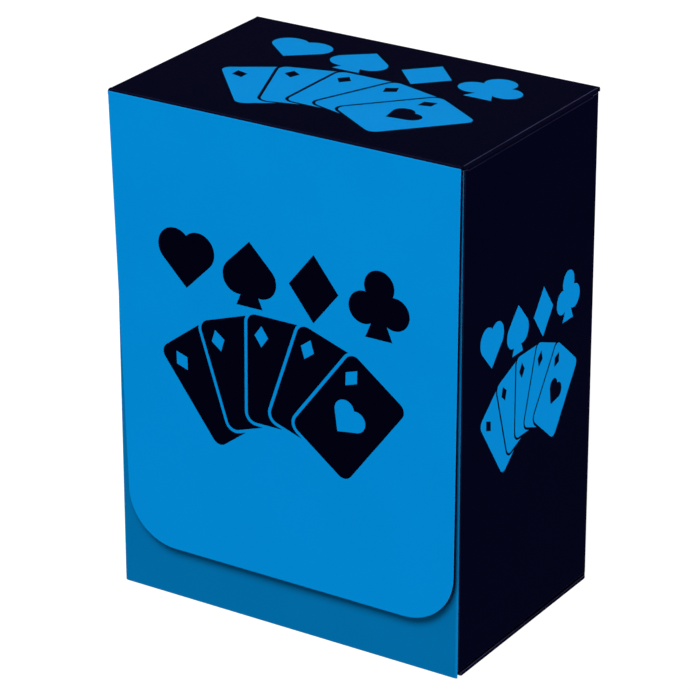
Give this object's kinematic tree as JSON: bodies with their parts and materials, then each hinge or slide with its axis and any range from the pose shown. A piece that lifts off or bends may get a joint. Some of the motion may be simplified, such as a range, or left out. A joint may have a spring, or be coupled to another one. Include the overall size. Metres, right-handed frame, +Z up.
{
  "type": "card deck box",
  "caption": "Folded polypropylene deck box for trading cards, with a long front flap on a living hinge, hook-and-loop closure, dust flaps and a loose divider.",
  "frame": {"origin": "middle of the base, on the underside of the bottom panel, half way between the side panels' faces and between the front and back panels' faces", "axes": "+Z up towards the lid, the front panel and its flap face -Y, +X to the right seen from the front"},
  "size_m": [0.073, 0.0491, 0.098],
  "materials": {
    "navy_sheet": "matt navy-black polypropylene sheet, very fine cast texture",
    "blue_print": "flat bright blue print on matt polypropylene sheet",
    "deep_blue_print": "flat deeper blue print on matt polypropylene sheet",
    "crease": "thinned sheet of a pressed crease, slightly glossier",
    "weld": "glossy melted spot of an ultrasonic weld",
    "hook_tape": "black nylon hook tape",
    "loop_tape": "black nylon loop pile"
  },
  "bodies": {
    "box": {"front_panel": "deep_blue_print", "right_side_panel": "navy_sheet", "left_side_panel": "navy_sheet", "back_panel": "navy_sheet", "seam_flap": "navy_sheet", "bottom_panel": "navy_sheet", "bottom_tuck_flap": "navy_sheet", "bottom_dust_flap_left": "navy_sheet", "bottom_dust_flap_right": "navy_sheet", "lid_hinge_web": "crease", "dust_hinge_web_left": "crease", "dust_hinge_web_right": "crease", "hook_coin_left": "hook_tape", "hook_coin_right": "hook_tape", "tuck_weld_left": "weld", "tuck_weld_right": "weld", "seam_weld_1": "weld", "seam_weld_2": "weld", "seam_weld_3": "weld", "seam_weld_4": "weld", "seam_weld_5": "weld"},
    "lid": {"lid_panel": "navy_sheet", "flap_hinge_web": "crease"},
    "flap": {"front_flap": "blue_print", "loop_coin_left": "loop_tape", "loop_coin_right": "loop_tape"},
    "dust_flap_left": {"dust_flap_left": "navy_sheet"},
    "dust_flap_right": {"dust_flap_right": "navy_sheet"},
    "divider": {"deck_divider": "navy_sheet"}
  },
  "joints": [
    {"name": "lid_hinge", "type": "hinge", "parent": "box", "child": "lid", "pos_m": [0, 0.0235, 0.098], "axis": [-1, 0, 0], "range_deg": [0, 200], "deforming": ["lid_hinge_web"]},
    {"name": "flap_hinge", "type": "hinge", "parent": "lid", "child": "flap", "pos_m": [0, -0.02465, 0.098], "axis": [-1, 0, 0], "range_deg": [0, 120], "deforming": ["flap_hinge_web"]},
    {"name": "dust_flap_right_hinge", "type": "hinge", "parent": "box", "child": "dust_flap_right", "pos_m": [0.0365, 0, 0.09695], "axis": [0, 1, 0], "range_deg": [0, 90], "deforming": ["dust_hinge_web_right"]},
    {"name": "dust_flap_left_hinge", "type": "hinge", "parent": "box", "child": "dust_flap_left", "pos_m": [-0.0365, 0, 0.09695], "axis": [0, -1, 0], "range_deg": [0, 90], "deforming": ["dust_hinge_web_left"]},
    {"name": "divider_slide", "type": "slide", "parent": "box", "child": "divider", "axis": [0, 1, 0], "range_m": [-0.042, 0]}
  ],
  "couplings": [
    {"joint": "dust_flap_right_hinge", "follows": "lid_hinge", "ratio": 0.45},
    {"joint": "dust_flap_left_hinge", "follows": "lid_hinge", "ratio": 0.45}
  ]
}
